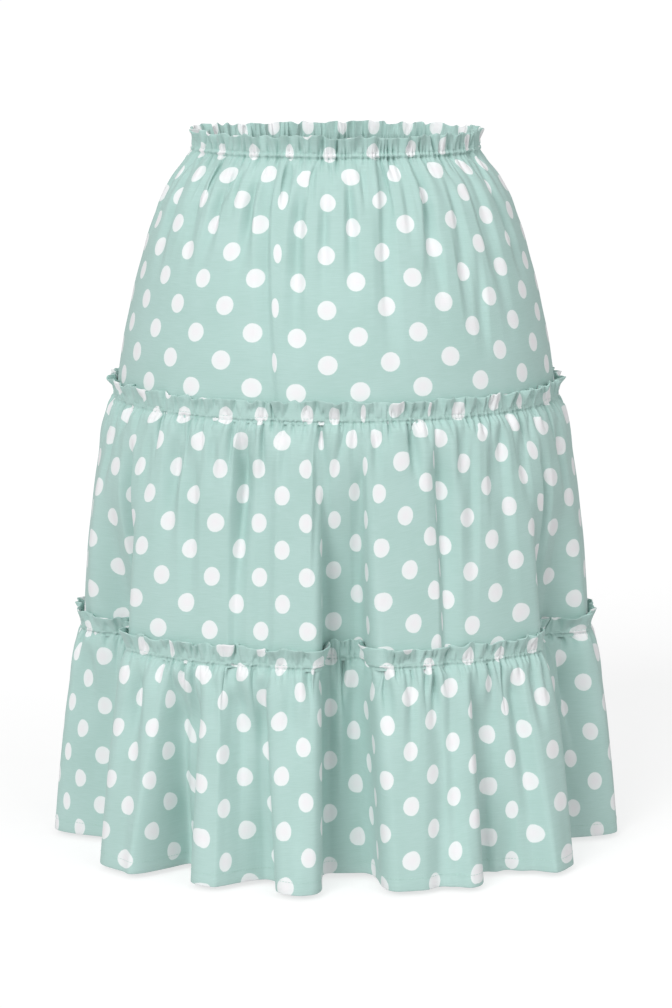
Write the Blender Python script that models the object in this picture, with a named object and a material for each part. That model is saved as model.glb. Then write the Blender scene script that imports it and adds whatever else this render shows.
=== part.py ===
"""A three-tier peasant skirt in cotton jersey, filled out as it is worn and held at the waist.

Metres, +Z up, the front facing -Y. The origin is the centre of the waist, level with the elastic.
Each tier is one strip of cloth, cut as a front and a back and gathered along its top. A turned-over
heading stands above the gathering stitches as a small frill. Each strip is lapped over the tier above.
"""

import math
from collections import namedtuple

import bpy
import numpy as np

MM = 0.001

# Heights, from the elastic down to the hem.
HEADING = 17 * MM  # frill above the gathering stitches
WAIST_Z = 0.0
UPPER_SEAM_Z = -231 * MM
LOWER_SEAM_Z = -454 * MM
HEM_Z = -656 * MM
SEAM_ALLOWANCE = 4 * MM  # cloth of the upper tier below the gathering stitches
HEM_DEPTH = 12 * MM

# Cloth.
CLOTH = 1.3 * MM
DOUBLE_CLOTH = 2.0 * MM  # where the cloth is turned over: the headings and the hem
GAP = 0.3 * MM  # between two pieces sewn together
LAP_GAP = 0.4 * MM  # behind a lapped heading, where a sharp fold brings the two pieces closer

# Gathering.
WAVES = 23  # frill waves along each front or back
SIDES_PER_WAVE = 4
SCALLOP = 1.3 * MM  # how unevenly the frill's top edge stands
SEAM_STRIP = 0.004  # share of a piece's width that lies smooth beside each side seam

SHARP_ANGLE = math.radians(60)  # edges sharper than this aren't shaded smooth
DENSE_DEGREES = 0.5  # spacing of the points that a row's length is measured on

Section = namedtuple("Section", "z half_width front back")
Fold = namedtuple("Fold", "z_top z_mid z_low deg_top deg_low left right flat narrow mid low")
Row = namedtuple("Row", "z wave doubled")
Tier = namedtuple("Tier", "name sections rows seam_z phase colour")

# The outer line of each tier through the crests of its folds, in millimetres.
TOP_SECTIONS = (
    Section(z=17, half_width=134.0, front=103.0, back=79.0),
    Section(z=0, half_width=134.5, front=102.0, back=79.0),
    Section(z=-10, half_width=139.5, front=106.0, back=84.0),
    Section(z=-30, half_width=154.0, front=118.0, back=97.0),
    Section(z=-62, half_width=169.0, front=132.0, back=114.0),
    Section(z=-100, half_width=181.0, front=145.0, back=130.0),
    Section(z=-150, half_width=193.5, front=157.0, back=143.0),
    Section(z=-200, half_width=203.0, front=164.0, back=150.0),
    Section(z=-240, half_width=208.0, front=167.5, back=153.0),
)
MIDDLE_SECTIONS = (
    Section(z=-231, half_width=209.5, front=169.0, back=155.0),
    Section(z=-243, half_width=215.5, front=174.0, back=160.0),
    Section(z=-285, half_width=223.5, front=178.0, back=165.0),
    Section(z=-340, half_width=231.5, front=180.5, back=169.0),
    Section(z=-400, half_width=237.5, front=182.5, back=172.0),
    Section(z=-460, half_width=241.0, front=184.0, back=174.0),
)
BOTTOM_SECTIONS = (
    Section(z=-454, half_width=243.0, front=186.0, back=176.0),
    Section(z=-466, half_width=247.5, front=191.0, back=180.0),
    Section(z=-510, half_width=255.0, front=198.0, back=187.0),
    Section(z=-570, half_width=263.0, front=206.0, back=195.0),
    Section(z=-656, half_width=271.5, front=217.0, back=204.0),
)

# The front's folds. Each is a trough, or a ridge where its depth is negative. Heights and depths are in
# millimetres, and angles in degrees to the wearer's left of the front's centre line. A fold is `mid` deep
# at z_mid and `low` deep at z_low. It reaches `left` and `right` degrees to each side, less towards the
# top by the factor `narrow`, and `flat` of that is level.
FRONT_FOLDS = (
    # gathers below the waist
    Fold(-2, -30, -120, -68, -66, 4.0, 4.0, 0.0, 0.8, 4.0, 0),
    Fold(-2, -25, -110, -52, -54, 3.5, 3.5, 0.0, 0.8, 4.0, 0),
    Fold(-2, -40, -130, -41, -43, 4.0, 4.0, 0.0, 0.7, 4.5, 0),
    Fold(-2, -40, -140, -29, -29, 3.5, 3.5, 0.0, 0.7, 5.0, 0),
    Fold(-2, -60, -215, -13, -11, 4.0, 3.5, 0.0, 0.7, 5.5, 0),
    Fold(-2, -45, -150, -3, -4, 3.5, 3.5, 0.0, 0.7, 3.5, 0),
    Fold(-2, -45, -150, 5, 4, 3.5, 3.5, 0.0, 0.7, 4.0, 0),
    Fold(-2, -60, -220, 16, 15, 3.5, 4.0, 0.0, 0.7, 5.5, 0),
    Fold(-2, -40, -170, 31, 29, 3.5, 4.0, 0.0, 0.7, 5.5, 0),
    Fold(-2, -45, -180, 42, 41, 3.5, 4.0, 0.0, 0.7, 4.5, 0),
    Fold(-2, -45, -190, 56, 54, 4.0, 4.0, 0.0, 0.8, 4.0, 0),
    # folds that end in the middle tier
    Fold(-236, -285, -420, -22, -23, 4.0, 5.0, 0.0, 0.6, 11.0, 0),
    Fold(-236, -285, -420, 25, 25, 5.0, 5.0, 0.0, 0.7, 6.0, 0),
    Fold(-236, -275, -390, -42, -43, 4.5, 4.5, 0.0, 0.7, 5.0, 0),
    Fold(-236, -275, -430, 43, 42, 5.0, 4.0, 0.0, 0.7, 5.0, 0),
    # folds that run from the middle tier to the hem
    Fold(-290, -454, -656, -62, -66, 22.0, 14.0, 0.35, 0.8, 36.0, 48.0),
    Fold(-240, -425, -656, 0.0, 1.5, 6.5, 11.0, 0.4, 0.75, 43.0, 62.0),
    Fold(-290, -454, -656, 60, 66, 14.0, 19.0, 0.35, 0.8, 34.0, 48.0),
    # folds of the bottom tier
    Fold(-459, -520, -656, -33, -36, 9.0, 9.5, 0.1, 0.6, 22.0, 46.0),
    Fold(-459, -520, -656, -17, -15, 9.0, 6.0, 0.0, 0.6, 16.0, 32.0),
    Fold(-459, -520, -656, 22, 22, 5.0, 5.0, 0.0, 0.7, 5.0, 8.0),
    Fold(-459, -520, -656, 33, 36, 7.5, 10.0, 0.1, 0.6, 17.0, 36.0),
    Fold(-459, -500, -600, -47, -49, 4.0, 4.0, 0.0, 0.7, 6.0, 0),
    # lobes of the hem that stand out
    Fold(-500, -560, -656, -7, -7, 6.0, 5.5, 0.0, 0.7, -3.0, -9.0),
    Fold(-500, -560, -656, 26, 26, 6.0, 5.0, 0.0, 0.7, -2.5, -9.0),
)
BACK_TURN = 180.0  # the back is folded like the front, turned half round and a little shallower
BACK_SPREAD = 0.94
BACK_SHIFT = 2.5
BACK_DEPTH = 0.85

# Rows of each tier from its top edge down: height, crest of the frill waves and turned-over cloth.
TOP_ROWS = (
    Row(z=WAIST_Z + HEADING, wave=4.5 * MM, doubled=1),
    Row(z=WAIST_Z, wave=0.8 * MM, doubled=1),
    Row(z=WAIST_Z - 10 * MM, wave=3.0 * MM, doubled=0),
    Row(z=WAIST_Z - 34 * MM, wave=1.8 * MM, doubled=0),
    Row(z=WAIST_Z - 80 * MM, wave=0, doubled=0),
    Row(z=WAIST_Z - 145 * MM, wave=0, doubled=0),
    Row(z=UPPER_SEAM_Z + HEADING, wave=0, doubled=0),
    Row(z=UPPER_SEAM_Z - SEAM_ALLOWANCE, wave=0, doubled=0),
)
MIDDLE_ROWS = (
    Row(z=UPPER_SEAM_Z + HEADING, wave=4.5 * MM, doubled=1),
    Row(z=UPPER_SEAM_Z, wave=0, doubled=1),
    Row(z=UPPER_SEAM_Z - 11 * MM, wave=2.4 * MM, doubled=0),
    Row(z=UPPER_SEAM_Z - 38 * MM, wave=1.4 * MM, doubled=0),
    Row(z=UPPER_SEAM_Z - 88 * MM, wave=0, doubled=0),
    Row(z=UPPER_SEAM_Z - 145 * MM, wave=0, doubled=0),
    Row(z=LOWER_SEAM_Z + HEADING, wave=0, doubled=0),
    Row(z=LOWER_SEAM_Z - SEAM_ALLOWANCE, wave=0, doubled=0),
)
BOTTOM_ROWS = (
    Row(z=LOWER_SEAM_Z + HEADING, wave=4.5 * MM, doubled=1),
    Row(z=LOWER_SEAM_Z, wave=0, doubled=1),
    Row(z=LOWER_SEAM_Z - 11 * MM, wave=2.4 * MM, doubled=0),
    Row(z=LOWER_SEAM_Z - 38 * MM, wave=1.4 * MM, doubled=0),
    Row(z=LOWER_SEAM_Z - 105 * MM, wave=0, doubled=0),
    Row(z=HEM_Z + HEM_DEPTH, wave=0, doubled=1),
    Row(z=HEM_Z, wave=0, doubled=1),
)
TIERS = (
    Tier("top_tier", TOP_SECTIONS, TOP_ROWS, WAIST_Z, 0.0, (0.45, 0.63, 0.58, 1.0)),
    Tier("middle_tier", MIDDLE_SECTIONS, MIDDLE_ROWS, UPPER_SEAM_Z, 1.9, (0.44, 0.62, 0.57, 1.0)),
    Tier("bottom_tier", BOTTOM_SECTIONS, BOTTOM_ROWS, LOWER_SEAM_Z, 4.1, (0.43, 0.61, 0.56, 1.0)),
)


def ease(t):
    """A smooth step from 0 to 1."""
    t = np.clip(t, 0.0, 1.0)
    return t * t * (3 - 2 * t)


def smooth_curve(at, places, values):
    """The value at a place on a smooth curve that doesn't overshoot its points."""
    order = np.argsort(places)
    x = np.asarray(places, float)[order]
    y = np.asarray(values, float)[order]
    step = np.diff(x)
    rise = np.diff(y) / step
    slope = np.concatenate([rise[:1], np.zeros(len(x) - 2), rise[-1:]])
    same_way = rise[:-1] * rise[1:] > 0
    slope[1:-1][same_way] = 2 / (1 / rise[:-1][same_way] + 1 / rise[1:][same_way])
    i = int(np.clip(np.searchsorted(x, at) - 1, 0, len(x) - 2))
    t = (at - x[i]) / step[i]
    from_start = y[i] + step[i] * t * slope[i]
    from_end = y[i + 1] - step[i] * (1 - t) * slope[i + 1]
    return from_start + (from_end - from_start) * (3 * t**2 - 2 * t**3)


def back_folds():
    """The front's folds turned half round, spaced and deepened a little differently."""
    turned = []
    for number, fold in enumerate(FRONT_FOLDS):
        shift = BACK_SHIFT * (-1) ** number
        turned.append(
            fold._replace(
                deg_top=BACK_TURN + BACK_SPREAD * fold.deg_top + shift,
                deg_low=BACK_TURN + BACK_SPREAD * fold.deg_low + shift,
                mid=BACK_DEPTH * fold.mid,
                low=BACK_DEPTH * fold.low,
            )
        )
    return tuple(turned)


FOLDS = FRONT_FOLDS + back_folds()


def fold_depth(fold, z_mm):
    """How deep a fold is at a height, in millimetres."""
    if z_mm >= fold.z_mid:
        return fold.mid * ease((fold.z_top - z_mm) / (fold.z_top - fold.z_mid))
    way_down = ease((fold.z_mid - z_mm) / (fold.z_mid - fold.z_low))
    return fold.mid + (fold.low - fold.mid) * way_down


def trough_depths(degrees, z_mm):
    """The summed depth of all folds round the skirt at a height, in millimetres."""
    total = np.zeros_like(degrees)
    for fold in FOLDS:
        depth = fold_depth(fold, z_mm)
        if depth == 0:
            continue
        way_down = np.clip((fold.z_top - z_mm) / (fold.z_top - fold.z_low), 0, 1)
        centre = fold.deg_top + (fold.deg_low - fold.deg_top) * way_down
        scale = fold.narrow + (1 - fold.narrow) * way_down
        away = (degrees - centre + 180) % 360 - 180
        reach = np.where(away < 0, fold.left, fold.right) * scale
        across = (np.abs(away) / reach - fold.flat) / (1 - fold.flat)
        total += depth * (1 - ease(across))
    return total


def tier_row(sections, z, places, is_front):
    """Points along the front's or the back's row at a height, at the given shares of its width.

    A front's row goes from the right side seam to the left one, and a back's row goes on from there.
    """
    z_mm = z / MM
    heights = [s.z for s in sections]
    half_width = smooth_curve(z_mm, heights, [s.half_width for s in sections])
    depth = smooth_curve(z_mm, heights, [s.front if is_front else s.back for s in sections])
    first = -90.0 if is_front else 90.0
    degrees = first + np.arange(0.0, 180.0 + DENSE_DEGREES, DENSE_DEGREES)
    dense = half_ellipse(degrees, half_width, depth)
    run = np.concatenate([[0], np.cumsum(np.linalg.norm(np.diff(dense, axis=0), axis=1))])
    half_gap = 0.5 * GAP / MM
    at = half_gap + places * (run[-1] - 2 * half_gap)
    degrees = np.interp(at, run, degrees)
    outward = half_ellipse(degrees, depth, half_width)
    outward /= np.linalg.norm(outward, axis=1)[:, None]
    outline = half_ellipse(degrees, half_width, depth)
    return (outline - outward * trough_depths(degrees, z_mm)[:, None]) * MM


def half_ellipse(degrees, across, deep):
    """Points of an ellipse at angles from the front's centre line."""
    turn = np.radians(degrees)
    return np.stack([across * np.sin(turn), -deep * np.cos(turn)], axis=1)


def outward_from(points):
    """The outward direction at each point of a row."""
    along = np.gradient(points, axis=0)
    normals = np.stack([along[:, 1], -along[:, 0]], axis=1)
    return normals / np.linalg.norm(normals, axis=1)[:, None]


def wave_places():
    """Shares of a piece's width where its columns of points lie: four to a wave, the waves uneven."""
    number = np.arange(WAVES)
    widths = 1 + 0.25 * np.sin(2.4 * number) + 0.15 * np.sin(5.3 * number + 1)
    edges = np.concatenate([[0], np.cumsum(widths)]) / widths.sum()
    quarters = np.arange(WAVES * SIDES_PER_WAVE + 1) / SIDES_PER_WAVE
    inner = SEAM_STRIP + (1 - 2 * SEAM_STRIP) * np.interp(quarters, np.arange(WAVES + 1), edges)
    return np.concatenate([[0], inner, [1]])


def wave_heights(phase, is_front):
    """How far each column stands out, from 0 in a trough to 1 on the tallest crest."""
    quarters = np.arange(WAVES * SIDES_PER_WAVE + 1) / SIDES_PER_WAVE
    turn = phase + (0 if is_front else 3.3)
    crest = 0.75 + 0.25 * np.sin(1.7 * np.floor(quarters) + turn)
    inner = crest * (0.5 - 0.5 * np.cos(2 * math.pi * quarters))
    return np.concatenate([[0], inner, [0]])


def tier_points(tier, upper, is_front):
    """The rows of outer and of inner points of a tier's front or back, from its top edge down."""
    places = wave_places()
    waves = wave_heights(tier.phase, is_front)
    outer, inner = [], []
    for number, row in enumerate(tier.rows):
        lapped = upper is not None and row.z >= tier.seam_z
        sections = upper.sections if lapped else tier.sections
        thickness = DOUBLE_CLOTH if row.doubled else CLOTH
        stand = row.wave * waves + (LAP_GAP + thickness if lapped else 0)
        points = tier_row(sections, row.z, places, is_front)
        outward = outward_from(points)
        heights = np.full(len(points), row.z)
        if number == 0:
            heights += SCALLOP * np.sin(2.1 * np.arange(len(points)) + tier.phase)
        outer.append(np.column_stack([points + outward * stand[:, None], heights]))
        inner.append(np.column_stack([points + outward * (stand - thickness)[:, None], heights]))
    return outer, inner


def cloth_material(name, colour):
    material = bpy.data.materials.new(name)
    material.use_nodes = True
    shader = material.node_tree.nodes["Principled BSDF"]
    shader.inputs["Base Color"].default_value = colour
    shader.inputs["Roughness"].default_value = 0.85
    shader.inputs["Metallic"].default_value = 0.0
    return material


def cloth_wall(name, outer, inner, material, collection):
    """A closed wall of cloth: a loft through its outer points, backed by one through its inner points."""
    rows, across = len(outer), len(outer[0])

    def index(layer, row, column):
        return (layer * rows + row) * across + column

    faces = []
    for r in range(rows - 1):
        for c in range(across - 1):
            lower_half = ((r, c), (r + 1, c), (r + 1, c + 1))
            upper_half = ((r, c), (r + 1, c + 1), (r, c + 1))
            for corners in (lower_half, upper_half):
                faces.append([index(0, *corner) for corner in corners])
                faces.append([index(1, *corner) for corner in reversed(corners)])
    top_edge = [(0, c) for c in range(across - 1)]
    far_edge = [(r, across - 1) for r in range(rows - 1)]
    low_edge = [(rows - 1, c) for c in range(across - 1, 0, -1)]
    near_edge = [(r, 0) for r in range(rows - 1, 0, -1)]
    rim = top_edge + far_edge + low_edge + near_edge
    for here, there in zip(rim, rim[1:] + rim[:1]):
        faces.append([index(0, *here), index(0, *there), index(1, *there), index(1, *here)])
    mesh = bpy.data.meshes.new(name)
    mesh.from_pydata(np.concatenate(outer + inner).tolist(), [], faces)
    mesh.shade_smooth()
    mesh.set_sharp_from_angle(angle=SHARP_ANGLE)
    mesh.materials.append(material)
    collection.objects.link(bpy.data.objects.new(name, mesh))


def main():
    for leftover in list(bpy.data.objects):
        bpy.data.objects.remove(leftover)
    collection = bpy.data.collections.new("Peasant_skirt")
    bpy.context.scene.collection.children.link(collection)
    upper = None
    for tier in TIERS:
        for side in ("front", "back"):
            name = f"{tier.name}_{side}"
            outer, inner = tier_points(tier, upper, side == "front")
            cloth_wall(name, outer, inner, cloth_material(f"{name}_jersey", tier.colour), collection)
        upper = tier


main()
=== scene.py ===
"""The looks of a three-tier peasant skirt in dotted cotton jersey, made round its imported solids.

Each half strip of cloth is one fine sheet: it starts inside its turned-over heading, goes up and over
the frill's edge, down past the gathering stitches, and on to the seam below or round the hem.
Lengths are in millimetres and angles in degrees until a mesh is made, which is in metres. The front
faces -Y, and angles go from the front's centre line to the wearer's left.
"""

import math
from collections import namedtuple

import bpy
import numpy as np
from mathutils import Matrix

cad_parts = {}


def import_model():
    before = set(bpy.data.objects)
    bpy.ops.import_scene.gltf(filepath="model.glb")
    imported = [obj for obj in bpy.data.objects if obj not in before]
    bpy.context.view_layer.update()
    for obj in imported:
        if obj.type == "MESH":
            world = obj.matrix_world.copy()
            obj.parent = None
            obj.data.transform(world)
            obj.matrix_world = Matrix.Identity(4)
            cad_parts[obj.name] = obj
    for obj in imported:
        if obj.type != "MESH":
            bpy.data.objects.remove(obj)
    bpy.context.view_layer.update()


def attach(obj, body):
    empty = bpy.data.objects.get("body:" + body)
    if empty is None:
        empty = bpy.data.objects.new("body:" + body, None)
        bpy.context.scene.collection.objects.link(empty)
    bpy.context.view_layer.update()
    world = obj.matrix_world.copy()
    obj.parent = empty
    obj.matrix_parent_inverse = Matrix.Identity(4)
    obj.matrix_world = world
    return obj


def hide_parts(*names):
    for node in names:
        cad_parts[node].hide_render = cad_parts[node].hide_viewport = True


MM = 0.001

# Heights, from the elastic down to the hem.
WAIST_Z = 0.0
UPPER_SEAM_Z = -231.0
LOWER_SEAM_Z = -454.0
HEM_Z = -656.0
HEADING = 17.0  # how far a frill stands above its gathering stitches
SEAM_ALLOWANCE = 4.0
HEM_DEPTH = 12.0

# Cloth.
EDGE_RADIUS = 0.8  # of the fold along a frill's top edge and along the hem
LAP_STAND = 2.4  # from the face of a tier out to the face of the heading lapped over it
LAP_LOFT = 3.4  # how much further out its frill's edge stands
LAP_CLEARANCE = 0.5  # how far a heading's creases may sink towards the tier behind it
CASING_TAIL = 9.0  # turned-over cloth below the gathering stitches, inside
SEAM_DIP = 0.7  # how far a side seam is drawn in
SEAM_DIP_WIDTH = 1.6

# The frill's waves, as on the solids. Their widths swell and flutter by shares of an even width, and
# their crests by shares of the full height. A turn is in radians, from one wave to the next.
WAVES = 23
SEAM_STRIP = 0.004  # share of a piece's width that lies smooth beside each side seam
WAVE_SWELL = 0.25
WAVE_SWELL_TURN = 2.4
WAVE_FLUTTER = 0.15
WAVE_FLUTTER_TURN = 5.3
WAVE_FLUTTER_START = 1.0
CREST_HEIGHT = 0.75
CREST_SWELL = 0.25
CREST_SWELL_TURN = 1.7
BACK_PHASE = 3.3  # how far the back's crests are turned from the front's

# Short creases beside the gathering, drawn at random between limits.
CREASE_SPACING = 5.2
CREASE_GAPS = (0.45, 1.55)  # from one crease to the next, as shares of an even gap
CREASE_LEAST_DEPTH = 1.5
CREASE_MORE_DEPTH = 6.5  # how much deeper the deepest is
CREASE_FEW_DEEP = 1.5  # the power that leaves few of them deep
CREASE_WIDTHS = (0.9, 2.3)
CREASE_REACH_DOWN = (9, 40)
LONG_CREASE_MORE = 45  # how much further down a long one reaches
USUAL_CREASES = 0.8  # share of the creases that aren't long
CREASE_REACH_UP = (12, 44)
CREASE_SLANT = 0.07  # sideways for each millimetre down
CREASE_POINT = 1.5  # the power that shapes a crease across: 2 is a round trough, 1 a pointed one
CREASE_TWICE_WIDE = 24  # how far below the stitches a crease is twice as wide
CREASE_HELD = 0.25  # share of its depth that the stitches leave it
CREASE_HELD_NEAR = 4.0  # how far from the stitches they hold it
CREASE_FAINT = 0.004  # share of its depth below which it is left out

# Tiny puckers between and beside the rows of stitches, and the line that each row draws in.
Swell = namedtuple("Swell", "size puckers")
PUCKER_LENGTH = 3.8  # from one to the next
PUCKER_DEPTH = 1.1
PUCKER_REACH = 11.0
PUCKER_DRIFTS = (Swell(size=1.3, puckers=7.3), Swell(size=0.9, puckers=3.1))  # in radians
PUCKER_SWELL = Swell(size=0.35, puckers=5.2)  # a share of the depth
GROOVE_DEPTH = 1.1
GROOVE_WIDTH = 0.8
HIDDEN_CLOTH = 2.2  # a crease takes up this much more cloth than its modelled depth

# The frill's uneven edge, which curls out and in and lifts. Each grows by a power of the way up.
HILL_DRIFT = 0.3  # of a hill from its even place, as a share of the spacing
CURL_SPACING = 5.5
CURL_HEIGHT = 3.6
CURL_POWER = 1.5
LIFT_SPACING = 6.5
LIFT_HEIGHT = 2.2
LIFT_POWER = 2
LOFT_POWER = 0.7
LIFT_SEED = 100  # added to a tier's own, as the next is
CURL_SEED = 200

# Rows of points.
HEADING_STEP = 1.0
GATHER_STEP = 2.2
BODY_STEP = 5.5
INSIDE_STEP = 4.0
EDGE_STEPS = 5
GATHER_DEPTH_BELOW = 10.0  # closely spaced rows go this far below a seam
GATHERED_BELOW = 56.0  # fairly closely spaced ones this far
DENSE_DEGREES = 0.5  # spacing of the points that an outline's length is measured on

# The print.
DOT_RADIUS = 8.7
DOT_ACROSS = 55.6  # from a dot to the next in its row
DOT_DOWN = 49.4  # from a dot to the next in its column

Section = namedtuple("Section", "z half_width front back")
Fold = namedtuple(
    "Fold", "z_top z_mid z_low deg_top deg_low left right flat narrow mid low lean_left lean_right"
)
Wave = namedtuple("Wave", "below height")
Crease = namedtuple("Crease", "z_top z_mid z_low deg_top deg_low left right mid low")
Column = namedtuple("Column", "dots deg_top deg_low drop")
Tier = namedtuple(
    "Tier",
    "name sections waves seam_z low_z phase seed columns stitch_rows print_columns print_row back_print",
)

# The outer line of each tier through the crests of its folds.
TOP_SECTIONS = (
    Section(z=17, half_width=134.0, front=103.0, back=79.0),
    Section(z=0, half_width=134.5, front=102.0, back=79.0),
    Section(z=-10, half_width=139.5, front=106.0, back=84.0),
    Section(z=-30, half_width=154.0, front=118.0, back=97.0),
    Section(z=-62, half_width=169.0, front=132.0, back=114.0),
    Section(z=-100, half_width=181.0, front=145.0, back=130.0),
    Section(z=-150, half_width=193.5, front=157.0, back=143.0),
    Section(z=-200, half_width=203.0, front=164.0, back=150.0),
    Section(z=-240, half_width=208.0, front=167.5, back=153.0),
)
MIDDLE_SECTIONS = (
    Section(z=-231, half_width=209.5, front=169.0, back=155.0),
    Section(z=-243, half_width=215.5, front=174.0, back=160.0),
    Section(z=-285, half_width=223.5, front=178.0, back=165.0),
    Section(z=-340, half_width=231.5, front=180.5, back=169.0),
    Section(z=-400, half_width=237.5, front=182.5, back=172.0),
    Section(z=-460, half_width=241.0, front=184.0, back=174.0),
)
BOTTOM_SECTIONS = (
    Section(z=-454, half_width=243.0, front=186.0, back=176.0),
    Section(z=-466, half_width=247.5, front=191.0, back=180.0),
    Section(z=-510, half_width=255.0, front=198.0, back=187.0),
    Section(z=-570, half_width=263.0, front=206.0, back=195.0),
    Section(z=-656, half_width=271.5, front=217.0, back=204.0),
)

# The front's folds. Each is a trough, or a ridge where its depth is negative. A fold is `mid` deep at
# z_mid and `low` deep at z_low. It reaches `left` and `right` degrees to each side, less towards the top
# by the factor `narrow`, and `flat` of that is level. Its sides lean over it by `lean` degrees.
FRONT_FOLDS = (
    # gathers below the waist
    Fold(-2, -30, -120, -68, -66, 4.0, 4.0, 0.0, 0.8, 4.0, 0, 0, 0),
    Fold(-2, -25, -110, -52, -54, 3.5, 3.5, 0.0, 0.8, 4.0, 0, 0, 0),
    Fold(-2, -40, -130, -41, -43, 4.0, 4.0, 0.0, 0.7, 4.5, 0, 0, 0),
    Fold(-2, -40, -140, -29, -29, 3.5, 3.5, 0.0, 0.7, 5.0, 0, 0, 0),
    Fold(-2, -60, -215, -13, -11, 4.0, 3.5, 0.0, 0.7, 5.5, 0, 0, 0),
    Fold(-2, -45, -150, -3, -4, 3.5, 3.5, 0.0, 0.7, 3.5, 0, 0, 0),
    Fold(-2, -45, -150, 5, 4, 3.5, 3.5, 0.0, 0.7, 4.0, 0, 0, 0),
    Fold(-2, -60, -220, 16, 15, 3.5, 4.0, 0.0, 0.7, 5.5, 0, 0, 0),
    Fold(-2, -40, -170, 31, 29, 3.5, 4.0, 0.0, 0.7, 5.5, 0, 0, 0),
    Fold(-2, -45, -180, 42, 41, 3.5, 4.0, 0.0, 0.7, 4.5, 0, 0, 0),
    Fold(-2, -45, -190, 56, 54, 4.0, 4.0, 0.0, 0.8, 4.0, 0, 0, 0),
    # folds that end in the middle tier
    Fold(-236, -285, -420, -22, -23, 4.0, 5.0, 0.0, 0.6, 11.0, 0, 0, 0),
    Fold(-236, -285, -420, 25, 25, 5.0, 5.0, 0.0, 0.7, 6.0, 0, 0, 0),
    Fold(-236, -275, -390, -42, -43, 4.5, 4.5, 0.0, 0.7, 5.0, 0, 0, 0),
    Fold(-236, -275, -430, 43, 42, 5.0, 4.0, 0.0, 0.7, 5.0, 0, 0, 0),
    # folds that run from the middle tier to the hem
    Fold(-290, -454, -656, -62, -66, 22.0, 14.0, 0.35, 0.8, 36.0, 48.0, 0, 1.8),
    Fold(-240, -425, -656, 0.0, 1.5, 6.5, 11.0, 0.4, 0.75, 43.0, 62.0, 1.1, 1.0),
    Fold(-290, -454, -656, 60, 66, 14.0, 19.0, 0.35, 0.8, 34.0, 48.0, 1.8, 0),
    # folds of the bottom tier
    Fold(-459, -520, -656, -33, -36, 9.0, 9.5, 0.1, 0.6, 22.0, 46.0, 0, 1.4),
    Fold(-459, -520, -656, -17, -15, 9.0, 6.0, 0.0, 0.6, 16.0, 32.0, 0, 1.0),
    Fold(-459, -520, -656, 22, 22, 5.0, 5.0, 0.0, 0.7, 5.0, 8.0, 0, 0),
    Fold(-459, -520, -656, 33, 36, 7.5, 10.0, 0.1, 0.6, 17.0, 36.0, 0.8, 0),
    Fold(-459, -500, -600, -47, -49, 4.0, 4.0, 0.0, 0.7, 6.0, 0, 0, 0),
    # lobes of the hem that stand out
    Fold(-500, -560, -656, -7, -7, 6.0, 5.5, 0.0, 0.7, -3.0, -9.0, 0, 0),
    Fold(-500, -560, -656, 26, 26, 6.0, 5.0, 0.0, 0.7, -2.5, -9.0, 0, 0),
)
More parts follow.
